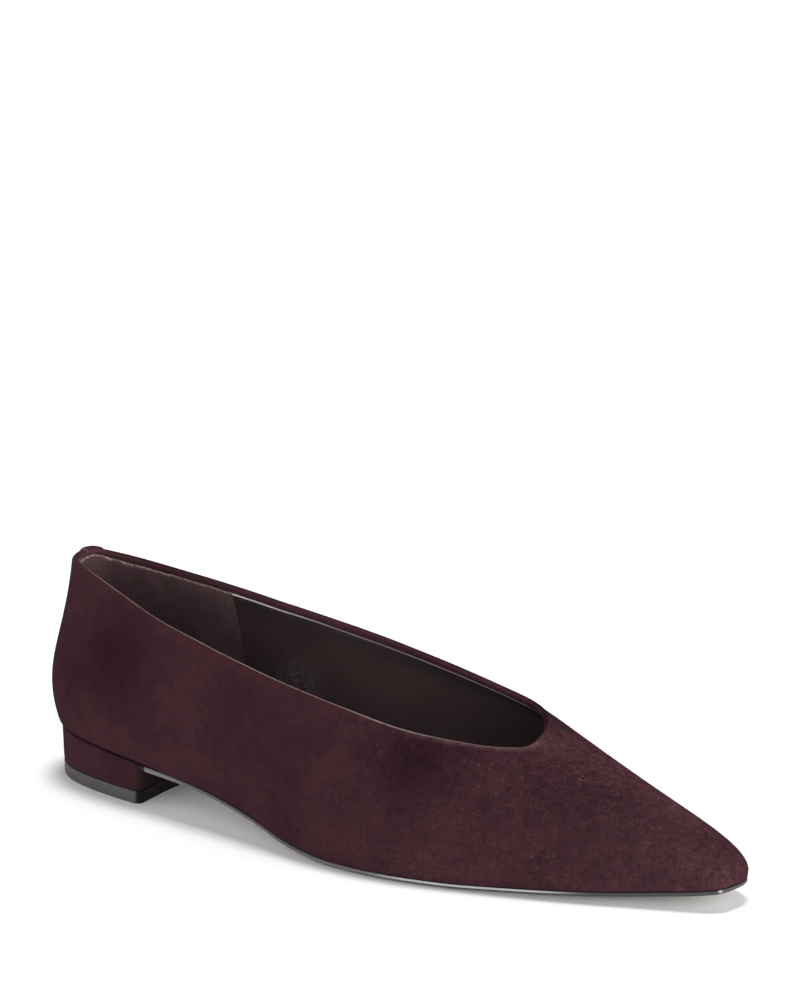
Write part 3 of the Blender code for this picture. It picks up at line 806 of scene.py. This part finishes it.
def band(columns, top, inner, round_off, pad=0.0):
    """A strip of lining against the inside of the upper, down to the sock lining.

    It starts top below the topline. inner is how far its face lies in from the skin, round_off the height
    of the round along its top edge and pad how much thicker it is up there.
    """
    bottom = skin.depth_at_rise(SOCK_RISE - SOCK_THICK)
    outer = SUEDE + LINING_GAP
    full = inner + pad
    section, below = [], []

    def lay(depth, inset):
        section.append(skin.at(depth, inset, columns))
        below.append(np.broadcast_to(depth - top, (GIRTH,))[columns])

    for share in np.linspace(1.0, 0.0, LINING_ROWS):
        lay(top + round_off + share * (bottom - top - round_off), outer)
    for angle in np.linspace(0.0, np.pi, ROUND_STEPS + 1)[1:-1]:
        lay(top + round_off * (1 - np.sin(angle)), (outer + full) / 2 - (full - outer) / 2 * np.cos(angle))
    for share in np.linspace(0.0, 1.0, LINING_ROWS):
        lay(top + round_off + share * (bottom - top - round_off), inner + pad * (1 - share)**3)
    return wrapped(np.stack(section, axis=1), close_x=False, close_y=True,
                   marks={"below_edge": np.stack(below, axis=1)})


def build_vamp_lining(material):
    shape = band(front_columns, skin.edge_depth - LINING_OVER, WALL, LINING_ROUND)
    placed("vamp_lining", shape, material, "sock_lining")


def build_heel_grip(material):
    """The heel grip meets the vamp lining at the heel's breast, and its upper edge is a little uneven."""
    wander = sum(height * np.sin(all_round * turn + start) for height, turn, start in GRIP_WAVES)
    top = skin.edge_depth - LINING_OVER - GRIP_OVER + wander
    shape = band(heel_columns, top, WALL + GRIP_PROUD, GRIP_ROUND, skin.rim - RIM)
    placed("heel_grip", shape, material, "sock_lining")


def build_lining_edge(material):
    """The cut edge of the vamp lining, which shows as a pale line under the fold."""
    tall, thick = EDGE_HALVES
    section = []
    for angle in np.linspace(0.0, 2 * np.pi, EDGE_STEPS, endpoint=False):
        depth = skin.edge_depth - tall * np.sin(angle)
        section.append(skin.at(depth, WALL - EDGE_INSET - thick * np.cos(angle), front_columns))
    shape = wrapped(np.stack(section, axis=1), close_x=False, close_y=True)
    placed("lining_edge", shape, material, "sock_lining")


def build_heel_strip(material):
    """The strip over the back seam, from the heel seat up over the topline and down inside the fold."""
    medial_count = int(np.argmax(skin.from_back[::-1] > STRIP_REACH[0]))
    lateral_count = int(np.argmax(skin.from_back > STRIP_REACH[1]))
    columns = np.arange(-medial_count, lateral_count + 1) % GIRTH
    across = np.abs(np.linspace(-1.0, 1.0, len(columns)))
    stand = np.zeros(GIRTH)
    stand[columns] = STRIP_THICK * np.sqrt(1 - across**STRIP_SQUARE)
    proud, hidden, below, fold, edges = [], [], [], [], []

    def lay(outer, inner, depth, turned):
        proud.append(outer)
        hidden.append(inner)
        below.append(depth[columns])
        fold.append(np.full(len(columns), turned))
        # painted highlight on the strip's edges over the fold's top
        edge_highlight = float(STRIP_HIGHLIGHT[0] < turned < STRIP_HIGHLIGHT[1])
        edges.append(np.where(across > STRIP_BORDER, edge_highlight, 0.0))

    for share in np.linspace(1.0, 0.0, STRIP_ROWS):
        depth = skin.wall_depth(share)
        lay(skin.at(depth, -stand, columns), skin.at(depth, STRIP_SUNK, columns), depth, 0.0)
    for turned in np.linspace(0.0, 1.0, FOLD_ROWS)[1:]:
        angle = turned * np.pi
        lay(skin.fold(angle, stand, columns), skin.fold(angle, -STRIP_SUNK, columns),
            skin.fold_start * (1 - turned), turned)
    end = skin.edge_depth - FOLD_SHORT - STRIP_SHORT
    for depth in np.linspace(skin.fold_start, end, INSIDE_ROWS)[1:]:
        lay(skin.at(depth, skin.rim + stand, columns), skin.at(depth, skin.rim - STRIP_SUNK, columns),
            skin.length, 1.0)
    below = np.stack(below + below[::-1], axis=1)
    shape = wrapped(np.stack(proud + hidden[::-1], axis=1), close_x=False, close_y=True, marks={
        "above_feather": skin.length[columns][:, None] - below,
        "below_topline": below,
        "fold": np.stack(fold + fold[::-1], axis=1),
        "strip_edge_highlight": np.stack(edges + edges[::-1], axis=1),
    })
    placed("heel_strip", shape, material, "suede")


# Pieces of the bottom


def build_sock_lining(material):
    """The sock lining lies on the insole, wall to wall, hollowed a little for the foot."""
    depth = skin.depth_at_rise(SOCK_RISE)
    outline = skin.at(depth, WALL + GRIP_PROUD + LINING_GAP, all_round)
    stations = eased(outline[:, 0].min(), outline[:, 0].max(), SOCK_STATIONS, 0.0, np.pi)
    lateral, medial = breadths(outline[:, :2], stations)
    across = np.linspace(0.0, 1.0, SOCK_ACROSS)
    width = (medial - lateral)[:, None]
    y = lateral[:, None] + width * across
    dish = SOCK_DISH * (1 - (2 * across - 1)**2) * np.clip(width / width.max(), 0.0, 1.0)
    x = np.repeat(stations[:, None], SOCK_ACROSS, axis=1)
    top = np.stack([x, y, feather_height(x) + SOCK_RISE - dish], axis=2)
    shape = wrapped(top, close_x=False, close_y=False)
    lower = bmesh.ops.extrude_face_region(shape, geom=list(shape.faces), use_keep_orig=True)
    verts = [part for part in lower["geom"] if isinstance(part, bmesh.types.BMVert)]
    bmesh.ops.translate(shape, vec=(0.0, 0.0, -SOCK_THICK * MM), verts=verts)
    placed("sock_lining", shape, material, "sock_lining", "insole")


def breast_hollow(y):
    """How far the hollowed breast lies behind the heel's front corners at y."""
    lateral, medial = breadths(feather_outline(0.0, 0.0), np.array([HEEL_BREAST_X]))
    half = (medial - lateral) / 2 - HEEL_CORNER
    side = (y - (lateral + medial) / 2) / half
    return BREAST_HOLLOW * np.clip(1 - side**2, 0, None)


def build_sole(material):
    """Lines from the breast to the toe, laid round the cross-section: over the bottom, up the trimmed edge,
    back over the top and down the other edge."""
    start = HEEL_BREAST_X + SEAT_GAP

    def line(inset, up, share):
        """One line, at a share of the way over from the lateral edge to the medial edge."""
        outline = feather_outline(inset - SOLE_WELT, inset - SOLE_WELT)
        x = eased(start, outline[:, 0].max(), SOLE_STATIONS, -np.pi / 2, 0.0)
        lateral, medial = breadths(outline, x)
        y = lateral + (medial - lateral) * share
        near_heel = np.clip(1 - (x - start) / BREAST_RUN, 0, 1)
        x = x - breast_hollow(y) * near_heel**2
        bottom = sole_bottom(x)
        return np.column_stack([x, y, bottom + (feather_height(x) - SOLE_CLOSE - bottom) * up])

    over = np.linspace(0.0, 1.0, SOLE_ACROSS + 1)
    (bottom_inset, low), (top_inset, high) = SOLE_EDGE[0], SOLE_EDGE[-1]
    places = [(bottom_inset, low, share) for share in over]
    places += [(inset, up, 1.0) for inset, up in SOLE_EDGE[1:-1]]
    places += [(top_inset, high, share) for share in over[::-1]]
    places += [(inset, up, 0.0) for inset, up in SOLE_EDGE[-2:0:-1]]
    sections = np.stack([line(*place) for place in places], axis=1)
    facing = np.roll(sections[0, ::-1], 2 - len(SOLE_EDGE), axis=0)
    closed_end = (sections[:1] + facing) / 2
    grid = np.concatenate([closed_end, sections])
    edge = np.broadcast_to([up for inset, up, share in places], grid.shape[:2])
    shape = wrapped(grid, close_x=False, close_y=True, marks={"edge": edge})
    placed("sole", shape, material, "sole", "outsole")


def heel_ring(down, trim):
    """Plan ring of the heel, back along the lateral side, forward on the medial side and over the breast.

    down is 0 at the seat and 1 on the floor, and trim is how far in the ring is drawn. With the ring comes
    how far round the front corner each of its points lies: 0 on the sides and 1 on the breast.
    """
    insets = [np.interp(down, (0, 1), pair) + trim for pair in (BACK_INSETS, FRONT_INSETS)]
    outline = feather_outline(*insets)
    corner_x = HEEL_BREAST_X - HEEL_CORNER
    radius = HEEL_CORNER - trim
    side_x = eased(outline[:, 0].min(), corner_x, HEEL_STATIONS, 0.0, np.pi / 2)
    lateral, medial = breadths(outline, side_x)
    turn = np.linspace(0.0, np.pi / 2, CORNER_STEPS + 1)[1:]
    inward = radius * (1 - np.cos(turn))
    round_corner = np.concatenate([np.zeros(HEEL_STATIONS), np.sin(turn)])
    side_x = np.concatenate([side_x, corner_x + radius * np.sin(turn)])
    lateral = np.concatenate([lateral, lateral[-1] + inward])
    medial = np.concatenate([medial, medial[-1] - inward])
    breast_y = np.linspace(medial[-1], lateral[-1], BREAST_STEPS + 1)[1:-1]
    breast_x = HEEL_BREAST_X - trim - breast_hollow(breast_y)
    ring = np.vstack([
        np.column_stack([side_x, lateral])[::-1],
        np.column_stack([side_x, medial])[1:],
        np.column_stack([breast_x, breast_y]),
    ])
    return ring, np.concatenate([round_corner[::-1], round_corner[1:], np.ones(len(breast_y))])


def heel_slice(name, rows, material, slot, node):
    """A slice of the heel from its rows, bottom first: how far down, its trim and its height at x."""
    layers, marks = [], []
    for down, trim, height in rows:
        ring, breast = heel_ring(down, trim)
        layers.append(np.column_stack([ring, np.broadcast_to(height(ring[:, 0]), len(ring))]))
        marks.append(breast)
    shape = wrapped(np.stack(layers, axis=1), close_x=True, close_y=False,
                    marks={"breast": np.stack(marks, axis=1)})
    placed(name, shape, material, slot, node)


def build_heel_cover(material):
    """The covered block: the suede turns under softly at the lift and meets the upper along the seat."""
    low = LIFT_THICK + COVER_GAP
    low_down = 1 - low / feather_height(0.0)

    def between(share, shift):
        return lambda x: low + (sole_top(x) - low) * share + shift

    rows = [(low_down, trim, between(0.0, up)) for trim, up in COVER_EDGE]
    rows += [(low_down * (1 - share), 0.0, between(share, 0.0)) for share in COVER_SHARES]
    rows += [(0.0, trim, between(1.0, -under)) for trim, under in COVER_EDGE[::-1]]
    heel_slice("heel_cover", rows, material, "heel_cover", "heel_block")


def build_heel_lift(material):
    """The rubber lift, trimmed flush with the cover."""
    high_down = 1 - LIFT_THICK / feather_height(0.0)

    def level(height):
        return lambda x: height

    rows = [(1.0, trim, level(up)) for trim, up in LIFT_EDGE]
    rows += [(1 + (high_down - 1) * share, 0.0, level(LIFT_THICK * share)) for share in LIFT_SHARES]
    rows += [(high_down, trim, level(LIFT_THICK - under)) for trim, under in LIFT_EDGE[::-1]]
    heel_slice("heel_lift", rows, material, "lift", "top_lift")


# Studio

FLOOR_HALF = 6.0  # metres from the floor's middle to its sides
ROOM_LOW, ROOM_HIGH = 2.1, 0.05  # the room's brightness level with the floor and overhead
TOE_SIDE = 0.3  # how much brighter the room is beyond the toe, and darker behind
OVERHEAD_LIGHT = 2.05
OVERHEAD_WIDTH = 18.0  # degrees across
OVERHEAD_FROM = (-0.09, 0.17, 0.98)


def build_floor():
    """A plain white sweep under the shoe."""
    paper = Finish("floor_paper", {"Specular IOR Level": 0.05})
    tooth = paper.noise(4.0, 2.0, 0.6)
    material = paper.wear(paper.mix(tooth, (0.88, 0.88, 0.88), (0.90, 0.90, 0.90)), 0.9)
    shape = bmesh.new()
    bmesh.ops.create_grid(shape, x_segments=8, y_segments=8, size=FLOOR_HALF)
    as_object("floor", shape, material)


def build_studio():
    """A white room, brightest low down and beyond the toe, with a softbox overhead."""
    world = bpy.data.worlds.new("studio")
    world.use_nodes = True
    room = Nodes(world.node_tree)
    background = room.tree.nodes["Background"]
    way = room.node("ShaderNodeTexCoord", {}, {}, "Generated")
    forward = room.node("ShaderNodeSeparateXYZ", {}, {0: way}, "X")
    upward = room.node("ShaderNodeSeparateXYZ", {}, {0: way}, "Z")
    brightness = (ROOM_LOW + (ROOM_HIGH - ROOM_LOW) * upward) * (1 + TOE_SIDE * forward)
    room.feed(background.inputs["Color"], (1.0, 1.0, 1.0))
    room.feed(background.inputs["Strength"], brightness)
    bpy.context.scene.world = world
    light = bpy.data.lights.new("overhead", "SUN")
    light.energy = OVERHEAD_LIGHT
    light.angle = np.radians(OVERHEAD_WIDTH)
    lamp = bpy.data.objects.new("overhead", light)
    lamp.rotation_euler = Vector(OVERHEAD_FROM).to_track_quat("Z", "Y").to_euler()
    bpy.context.scene.collection.objects.link(lamp)
    bpy.context.scene.view_settings.view_transform = "Standard"


# Camera: the photograph's view of the shoe

AIM = (130.0, 0.0, 30.0)  # the point on the last that the view is measured from
AZIMUTH, ELEVATION, ROLL = np.radians((36.86, 17.91, -0.42))
DISTANCE = 1961.0
FOCAL_PIXELS = 6096.7
FRAME_PIXELS = (800, 1000)
AIM_PIXEL = (387.35, 739.14)
SENSOR = 36.0
CLIP = (0.05, 50.0)  # metres


def build_camera():
    """A long lens, turned so that the aim falls on its pixel."""
    view = (Matrix.Rotation(AZIMUTH, 3, "Z") @ Matrix.Rotation(np.pi / 2 - ELEVATION, 3, "X")
            @ Matrix.Rotation(ROLL, 3, "Z"))
    data = bpy.data.cameras.new("camera")
    data.sensor_width = SENSOR
    data.lens = SENSOR * FOCAL_PIXELS / max(FRAME_PIXELS)
    data.clip_start, data.clip_end = CLIP
    camera = bpy.data.objects.new("camera", data)
    across, upward = AIM_PIXEL[0] - FRAME_PIXELS[0] / 2, FRAME_PIXELS[1] / 2 - AIM_PIXEL[1]
    turn = Vector((across, upward, -FOCAL_PIXELS)).rotation_difference(Vector((0.0, 0.0, -1.0))).to_matrix()
    place = (Vector(AIM) - Vector(MIDDLE) + view.col[2] * DISTANCE) * MM
    camera.matrix_world = Matrix.Translation(place) @ (view @ turn).to_4x4()
    bpy.context.scene.collection.objects.link(camera)
    bpy.context.scene.camera = camera


def main():
    build_camera()
    build_studio()
    build_floor()
    suede = upper_suede()
    build_suede_upper(suede)
    build_heel_strip(suede)
    build_vamp_lining(lining_leather())
    build_heel_grip(grip_suede())
    build_lining_edge(raw_edge())
    build_sock_lining(sock_leather())
    build_sole(sole_finish())
    build_heel_cover(cover_suede())
    build_heel_lift(lift_rubber())


main()
